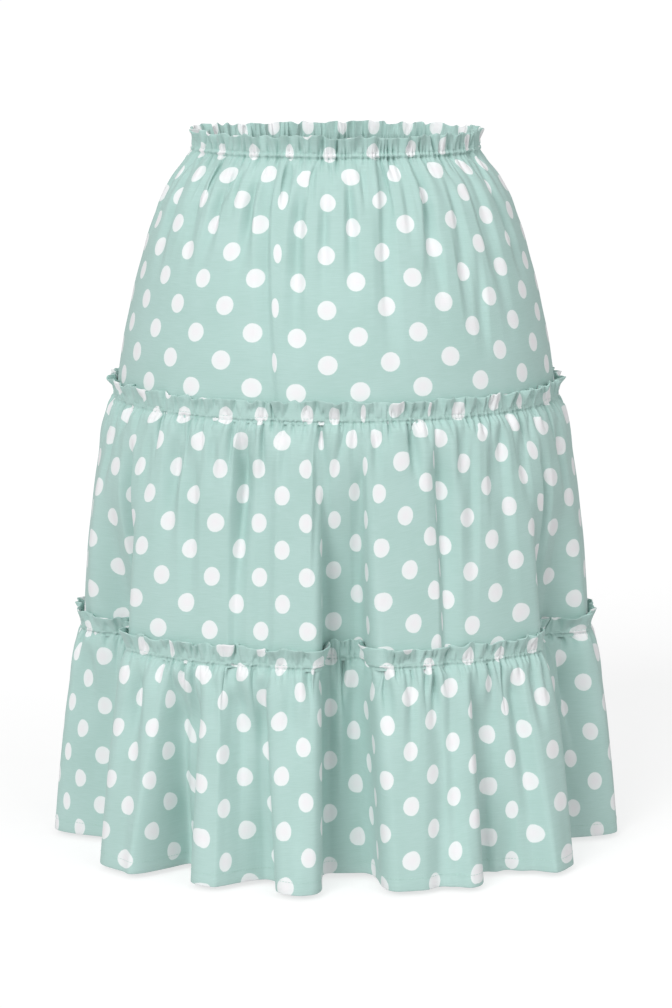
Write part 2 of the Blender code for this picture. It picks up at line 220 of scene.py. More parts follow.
# The front's creases, narrower than its folds: troughs that are `mid` deep at z_mid and `low` deep at
# z_low, or ridges where these are negative, and reach `left` and `right` degrees to each side.
FRONT_CREASES = (
    # top tier
    Crease(-8, -60, -190, -12, -9, 4.0, 2.2, 5.0, 0),
    Crease(-10, -55, -125, 4.5, 4, 2.0, 3.4, 3.6, 0),
    Crease(-30, -90, -190, 14.5, 13, 3.6, 2.4, 4.2, 0),
    Crease(-35, -70, -120, -4, -3.5, 2.2, 2.2, 2.6, 0),
    Crease(-8, -55, -120, -30.5, -25.5, 3.6, 2.2, 4.2, 0),
    Crease(-6, -50, -150, 33, 24.5, 2.4, 3.8, 4.6, 0),
    Crease(-60, -95, -135, 32.5, 30.5, 2.4, 2.4, 3.0, 0),
    Crease(-45, -100, -170, 39.5, 38.5, 2.4, 3.6, 4.0, 0),
    Crease(-80, -130, -190, 46.5, 42.5, 3.8, 2.4, 4.0, 0),
    Crease(-6, -60, -232, -24, -15.2, 4.2, 1.8, 5.4, 2.0),
    Crease(-8, -45, -100, -44.5, -39.5, 3.4, 3.0, 4.2, 0),
    Crease(-15, -60, -120, -54, -47.5, 3.2, 4.0, 4.2, 0),
    Crease(-8, -50, -130, -67, -62, 4.6, 3.2, 4.6, 0),
    Crease(-8, -50, -150, 51, 53, 2.8, 4.0, 4.2, 0),
    Crease(-8, -60, -130, 66, 68, 3.4, 4.6, 4.6, 0),
    Crease(-8, -40, -110, -81, -80, 4.6, 3.6, 4.0, 0),
    Crease(-8, -40, -90, 24, 23, 2.2, 2.6, 3.2, 0),
    Crease(-6, -24, -64, -36.5, -34.5, 1.8, 1.6, 3.8, 0),
    Crease(-6, -20, -50, -40.5, -38.5, 1.6, 1.8, 3.4, 0),
    Crease(-6, -20, -50, -18.5, -16.5, 1.5, 1.7, 3.4, 0),
    Crease(-6, -22, -60, -8, -7.5, 1.5, 1.6, 3.2, 0),
    Crease(-6, -18, -48, -50, -46.5, 1.8, 1.8, 3.4, 0),
    Crease(-6, -20, -56, 9.5, 9, 1.5, 1.7, 3.0, 0),
    # middle tier
    Crease(-236, -262, -456, -23.4, -22.6, 1.8, 5.0, 8.0, 4.0),
    Crease(-236, -290, -448, -18.8, -17.2, 3.0, 5.4, 5.0, 3.0),
    Crease(-236, -290, -456, 25.4, 24.6, 2.0, 4.6, 6.5, 4.0),
    Crease(-236, -260, -310, 32, 30, 2.4, 2.4, 4.0, 0),
    Crease(-236, -256, -290, 19.5, 19, 2.0, 2.0, 3.4, 0),
    Crease(-236, -280, -440, 34.5, 30.5, 3.4, 2.2, 4.0, 0),
    Crease(-236, -275, -350, 41, 38, 2.4, 3.4, 4.4, 0),
    Crease(-236, -256, -295, 43.5, 44, 2.0, 2.2, 3.4, 0),
    Crease(-236, -280, -380, -42.5, -40, 3.6, 2.6, 4.4, 0),
    Crease(-236, -300, -440, -36.5, -33.5, 3.6, 3.0, 6.0, 0),
    Crease(-236, -256, -290, 9.5, 9.5, 1.8, 1.8, 3.2, 0),
    Crease(-236, -290, -440, 5.8, 7.2, 3.2, 1.2, 7.0, 0),
    Crease(-236, -290, -400, -4.2, -5, 1.0, 3.4, 6.0, 0),
    Crease(-240, -320, -450, -59.5, -58, 3.8, 2.8, 14.0, 7.0),
    Crease(-260, -420, -540, -74.5, -75.5, 7.0, 8.0, -12.0, 0),
    Crease(-240, -320, -450, 58.5, 60, 1.6, 3.6, 7.0, 0),
    Crease(-236, -265, -320, -51, -51, 2.6, 2.6, 4.0, 0),
    Crease(-236, -265, -330, 50, 51, 2.6, 2.6, 4.0, 0),
    Crease(-236, -270, -340, -72, -73, 3.6, 3.6, 5.0, 0),
    Crease(-236, -270, -350, 70, 71, 3.6, 3.6, 5.0, 0),
    Crease(-236, -260, -300, -12, -12.5, 2.0, 2.0, 3.0, 0),
    Crease(-236, -260, -300, -31, -30, 2.0, 2.2, 3.4, 0),
    # bottom tier
    Crease(-459, -490, -610, -47, -44.5, 3.0, 3.0, 5.0, 0),
    Crease(-459, -495, -656, -21.5, -20, 3.8, 3.8, 12.0, 6.0),
    Crease(-459, -490, -620, -1.6, -1.5, 2.2, 2.8, 6.0, 0),
    Crease(-459, -500, -620, 4.4, 3.8, 3.2, 3.4, 8.0, 0),
    Crease(-459, -482, -570, 16, 15, 2.0, 2.0, 3.6, 0),
    Crease(-459, -480, -540, 21.5, 20.5, 2.6, 3.0, 2.6, 0),
    Crease(-459, -490, -650, 30.5, 30.5, 2.2, 3.0, 6.0, 6.0),
    Crease(-459, -530, -656, 36.4, 37.0, 3.6, 3.6, -4.0, -9.0),
    Crease(-459, -490, -656, 40.4, 44.4, 3.4, 2.8, 10.0, 8.0),
    Crease(-470, -540, -656, 45.5, 47.5, 3.4, 9.0, -4.0, -8.0),
    Crease(-459, -520, -656, 55, 56.5, 4.5, 4.0, -8.0, 0),
    Crease(-459, -500, -630, 72.5, 79, 3.0, 3.6, 13.0, 0),
    Crease(-459, -482, -570, -15.9, -15.2, 2.2, 2.2, 4.6, 0),
    Crease(-459, -490, -656, -37.2, -37.6, 2.6, 4.0, 11.0, 10.0),
    Crease(-470, -540, -656, -41.4, -42.2, 5.0, 2.6, -3.0, -6.0),
    Crease(-459, -480, -530, -9.8, -9, 2.0, 2.0, 3.6, 0),
    Crease(-459, -480, -540, 46.5, 47.5, 2.2, 2.4, 4.4, 0),
    Crease(-459, -485, -560, 55, 57, 2.6, 2.6, 5.0, 0),
    Crease(-459, -485, -560, -56, -58, 2.6, 2.6, 5.0, 0),
    Crease(-459, -490, -580, -79, -80, 3.4, 3.4, 6.0, 0),
    Crease(-459, -478, -520, 11, 11, 1.8, 1.8, 3.4, 0),
    Crease(-459, -480, -530, -26.5, -26, 1.8, 2.0, 3.6, 0),
)
BACK_TURN = 180.0  # the back is folded like the front, turned half round and a little shallower
BACK_SPREAD = 0.94
BACK_SHIFT = 2.5
BACK_DEPTH = 0.85

# How high the frill waves stand, by the distance below the gathering stitches.
TOP_WAVES = (Wave(-17, 4.5), Wave(0, 0.8), Wave(10, 3.0), Wave(34, 1.8), Wave(80, 0), Wave(235, 0))
MIDDLE_WAVES = (Wave(-17, 4.5), Wave(0, 0), Wave(11, 2.4), Wave(38, 1.4), Wave(88, 0), Wave(227, 0))
BOTTOM_WAVES = (Wave(-17, 4.5), Wave(0, 0), Wave(11, 2.4), Wave(38, 1.4), Wave(105, 0), Wave(202, 0))

# Where the front's columns of dots run, from each strip's top down to its lower edge, and how much lower
# than level a column's dots sit. Between two of these the cloth is even, and where many dots lie between
# close angles a fold hides them. The outer two are the side seams.
TOP_COLUMNS = (
    Column(-5.3, -90, -90, 5),
    Column(-3.5, -59, -57, 4),
    Column(-2.5, -42, -40, 3),
    Column(-1.5, -25.5, -21.3, 0),
    Column(-1.2, -20.5, -16, 0),
    Column(-0.8, -16, -14.8, 3),
    Column(-0.5, -11, -10, 4),
    Column(0.5, 5, 6.3, 2),
    Column(1.5, 21.5, 22.7, -1),
    Column(2.5, 39, 40.5, -3),
    Column(5.3, 90, 90, -6),
)
MIDDLE_COLUMNS = (
    Column(-7.6, -90, -90, 16),
    Column(-6.5, -73.5, -79, 16),
    Column(-6, -63, -71.5, 16),
    Column(-5.5, -57, -64.5, 16),
    Column(-5, -51.5, -60, 10),
    Column(-4.5, -47.3, -52, 8),
    Column(-4, -41.5, -43, 7),
    Column(-3.5, -34.6, -35, 5),
    Column(-3, -28, -28.9, 3),
    Column(-2.5, -23.5, -22.2, 3),
    Column(-2, -19.2, -16.2, 2),
    Column(-1.5, -12.8, -11.3, 0),
    Column(-1, -6.8, -6.3, 0),
    Column(0, -0.5, -0.5, 0),
    Column(0.5, 4, 5.4, -2),
    Column(0.6, 4.8, 6.1, -2),
    Column(1.4, 8.4, 9.6, -2),
    Column(1.5, 9.2, 10.8, -2),
    Column(2, 14.6, 18, -6),
    Column(2.5, 20.8, 22.8, -11),
    Column(2.62, 22.6, 23.8, -10),
    Column(3.4, 24.4, 24.6, -1),
    Column(3.5, 25.4, 25.4, 0),
    Column(4, 31.8, 31, 0),
    Column(5, 43.5, 45, -6),
    Column(5.5, 48.5, 55, -8),
    Column(6, 53.5, 60.5, -4),
    Column(6.5, 58.5, 70.5, 0),
    Column(7, 70.5, 76.5, 0),
    Column(8, 90, 90, 0),
)
BOTTOM_COLUMNS = (
    Column(-10.5, -90, -90, 0),
    Column(-9, -79.5, -81.3, 0),
    Column(-8.5, -74.5, -77.5, 0),
    Column(-6.5, -50.5, -53.2, -1),
    Column(-6, -47, -45.6, -6),
    Column(-5.5, -40.2, -40.8, -8),
    Column(-5, -38.2, -39.4, -9),
    Column(-4.8, -37.0, -38.4, -9),
    Column(-4.5, -35.2, -34.2, -4),
    Column(-4.2, -31.9, -28.6, 11),
    Column(-4, -29.5, -26, 13),
    Column(-3.5, -24.3, -22.3, 10),
    Column(-3, -21.2, -18.9, 8),
    Column(-2.5, -16.2, -13, 8),
    Column(-2, -12, -9.2, 0),
    Column(-1.5, -7.7, -4.7, -2),
    Column(0, -1.5, -1.5, 0),
    Column(0.5, 4, 6, -3),
    Column(1.5, 7.8, 9, 2),
    Column(2, 11, 10.3, 5),
    Column(2.5, 15.3, 15, 4),
    Column(3.5, 25, 24, -1),
    Column(4, 29.8, 27.6, -5),
    Column(4.5, 34.3, 35.8, -1),
    Column(5, 38, 40.5, -3),
    Column(5.5, 42, 44.5, -4),
    Column(6, 48, 51.8, -7),
    Column(6.5, 53.5, 57, -6),
    Column(8, 67, 71.5, 0),
    Column(8.5, 72, 76.5, 2),
    Column(10, 90, 90, 0),
)

# A tier's phase, in radians, and its seed make its crests and creases its own. Each half has `columns`
# columns of mesh. Its rows of stitches are given by how far they lie below the gathering. The print's
# first row is `print_row` below the frill's folded edge, and `back_print` shifts the back's print.
TIERS = (
    Tier(
        name="top_tier",
        sections=TOP_SECTIONS,
        waves=TOP_WAVES,
        seam_z=WAIST_Z,
        low_z=UPPER_SEAM_Z - SEAM_ALLOWANCE,
        phase=0.0,
        seed=11,
        columns=600,
        stitch_rows=(3.0, -1.6),
        print_columns=TOP_COLUMNS,
        print_row=15,
        back_print=(9, -4),
    ),
    Tier(
        name="middle_tier",
        sections=MIDDLE_SECTIONS,
        waves=MIDDLE_WAVES,
        seam_z=UPPER_SEAM_Z,
        low_z=LOWER_SEAM_Z - SEAM_ALLOWANCE,
        phase=1.9,
        seed=12,
        columns=720,
        stitch_rows=(1.8, -1.8),
        print_columns=MIDDLE_COLUMNS,
        print_row=13,
        back_print=(21, 5),
    ),
    Tier(
        name="bottom_tier",
        sections=BOTTOM_SECTIONS,
        waves=BOTTOM_WAVES,
        seam_z=LOWER_SEAM_Z,
        low_z=HEM_Z,
        phase=4.1,
        seed=13,
        columns=840,
        stitch_rows=(1.8, -1.8),
        print_columns=BOTTOM_COLUMNS,
        print_row=17.5,
        back_print=(15, 30),
    ),
)


# ---------------------------------------------------------------------------------------------- shape


def ease(t):
    """A smooth step from 0 to 1."""
    t = np.clip(t, 0.0, 1.0)
    return t * t * (3 - 2 * t)


def smooth_curve(at, places, values):
    """The value at a place on a smooth curve that doesn't overshoot its points."""
    order = np.argsort(places)
    x = np.asarray(places, float)[order]
    y = np.asarray(values, float)[order]
    step = np.diff(x)
    rise = np.diff(y) / step
    slope = np.concatenate([rise[:1], np.zeros(len(x) - 2), rise[-1:]])
    same_way = rise[:-1] * rise[1:] > 0
    slope[1:-1][same_way] = 2 / (1 / rise[:-1][same_way] + 1 / rise[1:][same_way])
    i = int(np.clip(np.searchsorted(x, at) - 1, 0, len(x) - 2))
    t = (at - x[i]) / step[i]
    from_start = y[i] + step[i] * t * slope[i]
    from_end = y[i + 1] - step[i] * (1 - t) * slope[i + 1]
    return from_start + (from_end - from_start) * (3 * t**2 - 2 * t**3)


def turned_to_back(front):
    """The front's folds or creases turned half round, spaced and deepened a little differently."""
    turned = []
    for number, fold in enumerate(front):
        shift = BACK_SHIFT * (-1) ** number
        turned.append(
            fold._replace(
                deg_top=BACK_TURN + BACK_SPREAD * fold.deg_top + shift,
                deg_low=BACK_TURN + BACK_SPREAD * fold.deg_low + shift,
                mid=BACK_DEPTH * fold.mid,
                low=BACK_DEPTH * fold.low,
            )
        )
    return tuple(turned)


FOLDS = FRONT_FOLDS + turned_to_back(FRONT_FOLDS)
CREASES = FRONT_CREASES + turned_to_back(FRONT_CREASES)


def fold_depth(fold, z):
    """How deep a fold is at a height."""
    if z >= fold.z_mid:
        return fold.mid * ease((fold.z_top - z) / (fold.z_top - fold.z_mid))
    way_down = ease((fold.z_mid - z) / (fold.z_mid - fold.z_low))
    return fold.mid + (fold.low - fold.mid) * way_down


def fold_round(degrees, z):
    """At each angle, the summed depth of the folds and creases at a height, and how far the folds lean."""
    depths = np.zeros_like(degrees)
    leans = np.zeros_like(degrees)
    for fold in FOLDS:
        depth = fold_depth(fold, z)
        if depth == 0:
            continue
        way_down = np.clip((fold.z_top - z) / (fold.z_top - fold.z_low), 0, 1)
        centre = fold.deg_top + (fold.deg_low - fold.deg_top) * way_down
        scale = fold.narrow + (1 - fold.narrow) * way_down
        away = (degrees - centre + 180) % 360 - 180
        on_left = away < 0
        reach = np.where(on_left, fold.left, fold.right) * scale
        across = np.clip((np.abs(away) / reach - fold.flat) / (1 - fold.flat), 0, 1)
        depths += depth * (1 - ease(across))
        lean = np.where(on_left, -fold.lean_left, fold.lean_right) * depth / max(fold.mid, fold.low, 1)
        leans += lean * np.sin(2 * math.pi * across)
    for crease in CREASES:
        depth = fold_depth(crease, z)
        if depth == 0:
            continue
        way_down = np.clip((crease.z_top - z) / (crease.z_top - crease.z_low), 0, 1)
        shift = (crease.deg_low - crease.deg_top) * way_down
        away = (degrees - crease.deg_top - shift + 180) % 360 - 180
        across = np.clip(np.abs(away) / np.where(away < 0, crease.left, crease.right), 0, 1)
        depths += depth * (1 - ease(across))
    return depths, leans


def ellipse(degrees, across, deep):
    """Points of an ellipse at angles from the front's centre line."""
    turn = np.radians(degrees)
    return np.stack([across * np.sin(turn), -deep * np.cos(turn)], axis=1)


def outward_from(points):
    """The outward direction at each point of a closed ring."""
    along = np.roll(points, -1, axis=0) - np.roll(points, 1, axis=0)
    normals = np.stack([along[:, 1], -along[:, 0]], axis=1)
    return normals / np.linalg.norm(normals, axis=1)[:, None]


def outline(sections, z):
    """An outline's half width and its depths to the front and to the back at a height."""
    heights = [s.z for s in sections]
    half_width = smooth_curve(z, heights, [s.half_width for s in sections])
    front = smooth_curve(z, heights, [s.front for s in sections])
    back = smooth_curve(z, heights, [s.back for s in sections])
    return half_width, front, back


def ring_line(sections, z, columns):
    """A tier's folded line all round at a height: the points, the outward directions, and the angles.

    It starts at the right side seam, passes the front, and ends one point before its start. The angles
    are those of the points before any lean.
    """
    half_width, front, back = outline(sections, z)
    rings, angles = [], []
    for first, deep in ((-90.0, front), (90.0, back)):
        dense = first + np.arange(0.0, 180.0 + DENSE_DEGREES, DENSE_DEGREES)
        line = ellipse(dense, half_width, deep)
        run = np.concatenate([[0], np.cumsum(np.linalg.norm(np.diff(line, axis=0), axis=1))])
        degrees = np.interp(np.arange(columns) / columns * run[-1], run, dense)
        depths, leans = fold_round(degrees, z)
        out = ellipse(degrees + leans, deep, half_width)
        out /= np.linalg.norm(out, axis=1)[:, None]
        rings.append(ellipse(degrees + leans, half_width, deep) - out * depths[:, None])
        angles.append(degrees)
    points = np.concatenate(rings)
    return points, outward_from(points), np.concatenate(angles)


# ------------------------------------------------------------------------------------------- gathering


def wave_round(tier):
    """How far each column of a ring stands out in the frill's waves, from 0 in a trough to 1."""
    number = np.arange(WAVES)
    swell = WAVE_SWELL * np.sin(WAVE_SWELL_TURN * number)
    widths = 1 + swell + WAVE_FLUTTER * np.sin(WAVE_FLUTTER_TURN * number + WAVE_FLUTTER_START)
    edges = np.concatenate([[0], np.cumsum(widths)]) / widths.sum()
    share = np.arange(tier.columns) / tier.columns
    inner = np.clip((share - SEAM_STRIP) / (1 - 2 * SEAM_STRIP), 0, 1)
    along = np.interp(inner, edges, np.arange(WAVES + 1))
    halves = []
    for turn in (tier.phase, tier.phase + BACK_PHASE):
        crest = CREST_HEIGHT + CREST_SWELL * np.sin(CREST_SWELL_TURN * np.floor(along) + turn)
        halves.append(crest * (0.5 - 0.5 * np.cos(2 * math.pi * along)))
    return np.concatenate(halves)


def wave_height(tier, below):
    """How high the frill's waves stand at a distance below the gathering stitches."""
    return smooth_curve(below, [w.below for w in tier.waves], [w.height for w in tier.waves])


class Creases:
    """The short creases that run up and down from a tier's gathering stitches."""

    def __init__(self, tier, girth):
        """girth is the length of the gathering all round."""
        draw = np.random.default_rng(tier.seed)
        count = int(girth / CREASE_SPACING)
        gaps = draw.uniform(*CREASE_GAPS, count)
        self.girth = girth
        self.place = np.cumsum(gaps) / gaps.sum() * girth
        self.depth = CREASE_LEAST_DEPTH + CREASE_MORE_DEPTH * draw.random(count) ** CREASE_FEW_DEEP
        self.width = draw.uniform(*CREASE_WIDTHS, count)
        self.down = draw.uniform(*CREASE_REACH_DOWN, count)
        self.down += LONG_CREASE_MORE * (draw.random(count) > USUAL_CREASES)
        self.up = draw.uniform(*CREASE_REACH_UP, count)
        self.slant = draw.normal(0, CREASE_SLANT, count)
        self.along = np.arange(2 * tier.columns) / (2 * tier.columns) * girth
        self.pucker_turn = draw.uniform(0, 2 * math.pi, 3)

    def height(self, below):
        """How far each column stands out, or in where it is negative, at a distance below the stitches."""
        total = np.zeros_like(self.along)
        held = CREASE_HELD + (1 - CREASE_HELD) * ease(abs(below) / CREASE_HELD_NEAR)
        reach = self.down if below > 0 else self.up
        fade = held * (1 - ease(abs(below) / reach))
        spread = 1 + max(below, 0) / CREASE_TWICE_WIDE
        for i in np.flatnonzero(fade > CREASE_FAINT):
            centre = self.place[i] + self.slant[i] * below
            away = (self.along - centre + self.girth / 2) % self.girth - self.girth / 2
            across = np.abs(away) / (self.width[i] * spread)
            total -= self.depth[i] * fade[i] * np.exp(-(across**CREASE_POINT))
        return total

    def puckers(self, below):
        """Tiny ripples between and beside the rows of stitches."""
        near = 1 - ease(abs(below) / PUCKER_REACH)
        if near == 0:
            return np.zeros_like(self.along)
        turn = 2 * math.pi * self.along / PUCKER_LENGTH
        drift = np.zeros_like(turn)
        for part, start in zip(PUCKER_DRIFTS, self.pucker_turn):
            drift += part.size * np.sin(turn / part.puckers + start)
        swell = np.sin(turn / PUCKER_SWELL.puckers + self.pucker_turn[-1])
        share = 1 - PUCKER_SWELL.size + PUCKER_SWELL.size * swell
        return PUCKER_DEPTH * near * share * np.sin(turn + drift)


def uneven_round(tier, girth, spacing, seed):
    """A smooth uneven line round a ring, about 1 high to each side, with hills about 2 spacings apart."""
    count = int(girth / spacing)
    draw = np.random.default_rng(seed)
    hills = draw.uniform(-1, 1, count)
    places = (np.arange(count) + draw.uniform(-HILL_DRIFT, HILL_DRIFT, count)) / count
    places = np.concatenate([[places[-1] - 1], places, [places[0] + 1]])
    hills = np.concatenate([[hills[-1]], hills, [hills[0]]])
    share = np.arange(2 * tier.columns) / (2 * tier.columns)
    number = np.clip(np.searchsorted(places, share, side="right") - 1, 0, count)
    between = (share - places[number]) / (places[number + 1] - places[number])
    return hills[number] + (hills[number + 1] - hills[number]) * ease(between)


def seam_dip(tier):
    """How far each column is drawn in beside the two side seams."""
    number = np.arange(2 * tier.columns)
    nearest = np.minimum(number % tier.columns, (-number) % tier.columns)
    half_width = tier.sections[len(tier.sections) // 2].half_width
    away = nearest * math.pi * half_width / tier.columns
    return -SEAM_DIP * np.exp(-((away / SEAM_DIP_WIDTH) ** 2))


# ---------------------------------------------------------------------------------------------- sheets


def spaced(start, end, step):
    """Even places from start to end, about a step apart."""
    return np.linspace(start, end, max(1, round(abs(end - start) / step)) + 1)


def tier_rows(tier):
    """A strip's rows from its inner raw edge, over the frill's edge, down to its lower edge.

    Each is a height and how far the cloth lies inside the tier's face there.
    """
    top = tier.seam_z + HEADING
    inside = 2 * EDGE_RADIUS
    rows = [(z, inside) for z in spaced(tier.seam_z - CASING_TAIL, top - EDGE_RADIUS, INSIDE_STEP)[:-1]]
    for turn in np.linspace(math.pi, 0, EDGE_STEPS + 1):
        rows.append((top - EDGE_RADIUS + EDGE_RADIUS * math.sin(turn), EDGE_RADIUS * (1 - math.cos(turn))))
    is_hem = tier.low_z == HEM_Z
    low = tier.low_z + EDGE_RADIUS if is_hem else tier.low_z
    first, second = tier.seam_z - GATHER_DEPTH_BELOW, tier.seam_z - GATHERED_BELOW
    rows += [(z, 0.0) for z in spaced(top - EDGE_RADIUS, first, HEADING_STEP)[1:]]
    rows += [(z, 0.0) for z in spaced(first, second, GATHER_STEP)[1:]]
    rows += [(z, 0.0) for z in spaced(second, low, BODY_STEP)[1:]]
    if is_hem:
        for turn in np.linspace(0, math.pi, EDGE_STEPS + 1)[1:]:
            rows.append((low - EDGE_RADIUS * math.sin(turn), EDGE_RADIUS * (1 - math.cos(turn))))
        rows += [(z, inside) for z in spaced(low, tier.low_z + HEM_DEPTH, INSIDE_STEP)[1:]]
    return rows


class Strip:
    """A tier's cloth all round, row by row."""

    def __init__(self, tier, upper):
        self.tier = tier
        self.upper = upper
        self.waves = wave_round(tier)
        self.dip = seam_dip(tier)
        half_width, front, back = outline(tier.sections, tier.seam_z)
        girth = math.pi * (half_width + (front + back) / 2)
        self.creases = Creases(tier, girth)
        self.lift = LIFT_HEIGHT * uneven_round(tier, girth, LIFT_SPACING, tier.seed + LIFT_SEED)
        self.curl = CURL_HEIGHT * uneven_round(tier, girth, CURL_SPACING, tier.seed + CURL_SEED)

    def row(self, z, inside):
        """A row's points, outward directions, creases' heights and angles, all round."""
        tier = self.tier
        lapped = self.upper is not None and z > tier.seam_z
        sections = self.upper.sections if lapped else tier.sections
        points, outward, angles = ring_line(sections, z, tier.columns)
        below = tier.seam_z - z
        up_frill = np.clip(-below / HEADING, 0, 1)
        creases = self.creases.height(below)
        stand = wave_height(tier, below) * self.waves + creases + self.creases.puckers(below)
        stand += self.curl * up_frill**CURL_POWER
        for stitch_row in tier.stitch_rows:
            stand -= GROOVE_DEPTH * math.exp(-(((below - stitch_row) / GROOVE_WIDTH) ** 2))
        if lapped:
            stand = np.maximum(stand + LAP_LOFT * up_frill**LOFT_POWER, -LAP_CLEARANCE) + LAP_STAND
        stand += self.dip - inside
        heights = z + self.lift * up_frill**LIFT_POWER
        placed = np.column_stack([points + outward * stand[:, None], heights])
        return placed, np.column_stack([outward, np.zeros(len(outward))]), creases, angles

    def across(self, placed, creases):
        """Each column's distance along the cloth from its half's first side seam, one row per half."""
        steps = np.linalg.norm(np.roll(placed, -1, axis=0)[:, :2] - placed[:, :2], axis=1)
        hidden = HIDDEN_CLOTH * (np.roll(creases, -1) - creases)
        steps = np.hypot(steps, hidden).reshape(2, self.tier.columns)
        return np.concatenate([np.zeros((2, 1)), np.cumsum(steps, axis=1)], axis=1)

    def front_print(self, z, run, angles):
        """Each front column's distance from the middle column of dots, and how much lower the dots sit."""
        tier = self.tier
        marks = tier.print_columns
        way_down = min(max((tier.seam_z - z) / (tier.seam_z - tier.low_z), 0), 1)
        at = [mark.deg_top + (mark.deg_low - mark.deg_top) * way_down for mark in marks]
        degrees = np.append(angles[: tier.columns], 90.0)
        runs = np.interp(at, degrees, run)
        dots = np.interp(run, runs, [mark.dots for mark in marks])
        return dots * DOT_ACROSS, np.interp(run, runs, [mark.drop for mark in marks])

    def row_print(self, z, placed, creases, angles):
        """Each column's place across the print in a row, and how much lower its dots sit, for each half."""
        tier = self.tier
        runs = self.across(placed, creases)
        front, drop = self.front_print(z, runs[0], angles)
        back = runs[1] / runs[1, -1] * self.width - tier.back_print[0]
        return [front, back], [drop, np.full_like(drop, tier.back_print[1] - tier.print_row)]

    def rows(self):
        """All rows' points, and their places on the flat cloth in the print's own coordinates.

        Above the stitches, and inside the heading, the print is as it is at the stitches.
        """
        tier = self.tier
        profile = tier_rows(tier)
        heights = [z for z, _ in profile]
        marks = tier.print_columns
        self.width = (marks[-1].dots - marks[0].dots) * DOT_ACROSS
        placed, _, creases, angles = self.row(tier.seam_z, 0.0)
        gathered = self.row_print(tier.seam_z, placed, creases, angles)
        grid, across, drops = [], [], []
        for z, inside in profile:
            placed, _, creases, angles = self.row(z, inside)
            grid.append(placed)
            in_hem = z <= HEM_Z + HEM_DEPTH
            in_heading = z > tier.seam_z or (inside > 0 and not in_hem)
            places, drop = gathered if in_heading else self.row_print(z, placed, creases, angles)
            across.append(places)
            drops.append(drop)
        grid = np.array(grid)
        radius = np.linalg.norm(grid[:, :, :2], axis=2).mean(axis=1)
        down = np.concatenate([[0], np.cumsum(np.hypot(np.diff(radius), np.diff(heights)))])
        self.length = down[-1]
        down -= down[int(np.argmax(heights))] + tier.print_row
        return grid, np.array(across), down[:, None, None] - np.array(drops)


def half_sheet(name, strip, grid, across, down, side, material):
    """One half strip as a mesh, with its cloth's own coordinates in millimetres."""
    tier = strip.tier
    columns = tier.columns
    chosen = np.arange(side * columns, (side + 1) * columns + 1) % (2 * columns)
    points = grid[:, chosen] * MM
    rows, wide = points.shape[:2]
    corner = np.arange(rows * wide).reshape(rows, wide)
    quads = np.stack([corner[:-1, :-1], corner[1:, :-1], corner[1:, 1:], corner[:-1, 1:]], axis=-1)
    mesh = bpy.data.meshes.new(name)
    mesh.from_pydata(points.reshape(-1, 3), [], quads.reshape(-1, 4))
    mesh.shade_smooth()
    cloth = np.zeros((rows, wide, 3), np.float32)
    cloth[:, :, 0] = across[:, side]
    cloth[:, :, 1] = down[:, side]
    mesh.attributes.new("cloth", "FLOAT_VECTOR", "POINT").data.foreach_set("vector", cloth.ravel())
    mesh.materials.append(material)
    piece = bpy.data.objects.new(name, mesh)
    bpy.context.scene.collection.objects.link(piece)
    return piece


# ------------------------------------------------------------------------------------------- stitching

STITCH_LENGTH = 2.3
STITCH_GAP = 0.8
THREAD_RADIUS = 0.24
THREAD_SIDES = 4
# A stitch's loops of points: each one's place along it, and its thickness as a share of the thread's.
THREAD_PROFILE = ((-1.0, 0.25), (-0.7, 0.9), (0.7, 0.9), (1.0, 0.25))
THREAD_OUT = 0.6  # how far a thread's middle is off the cloth, as a share of its radius
UNSTITCHED = 1.0  # beside each side seam
HEM_STITCH_ABOVE = 11.5  # the hem's edge


def all_stitch_rows(strip):
    """The rows of stitches on a strip, as distances below its gathering."""
    rows = list(strip.tier.stitch_rows)
    if strip.tier.low_z == HEM_Z:
        rows.append(strip.tier.seam_z - HEM_Z - HEM_STITCH_ABOVE)
    return rows


def value_at(place, run, line):
    """The point or the direction at a distance along a line of them."""
    return np.array([np.interp(place, run, part) for part in line.T])


def stitch_points(ends, away):
    """One stitch's loops of points, from end to end. away is the direction off the cloth."""
    along = ends[1] - ends[0]
    middle = ends.mean(axis=0) + away * THREAD_RADIUS * THREAD_OUT
    up = np.cross(away, along / np.linalg.norm(along))
    turn = np.linspace(0, 2 * math.pi, THREAD_SIDES, endpoint=False)
    loop = np.outer(np.cos(turn), away) + np.outer(np.sin(turn), up)
    loops = [middle + along / 2 * place + THREAD_RADIUS * size * loop for place, size in THREAD_PROFILE]
    return np.concatenate(loops)


def stitch_faces(first):
    """The faces of one stitch, whose points are numbered from first: its sides and its two ends."""
    faces = []
    for number in range(len(THREAD_PROFILE) - 1):
        base = first + number * THREAD_SIDES
        for i in range(THREAD_SIDES):
            j = (i + 1) % THREAD_SIDES
            faces.append((base + i, base + THREAD_SIDES + i, base + THREAD_SIDES + j, base + j))
    last = first + (len(THREAD_PROFILE) - 1) * THREAD_SIDES
    faces.append(tuple(range(first, first + THREAD_SIDES)))
    faces.append(tuple(range(last + THREAD_SIDES - 1, last - 1, -1)))
    return faces


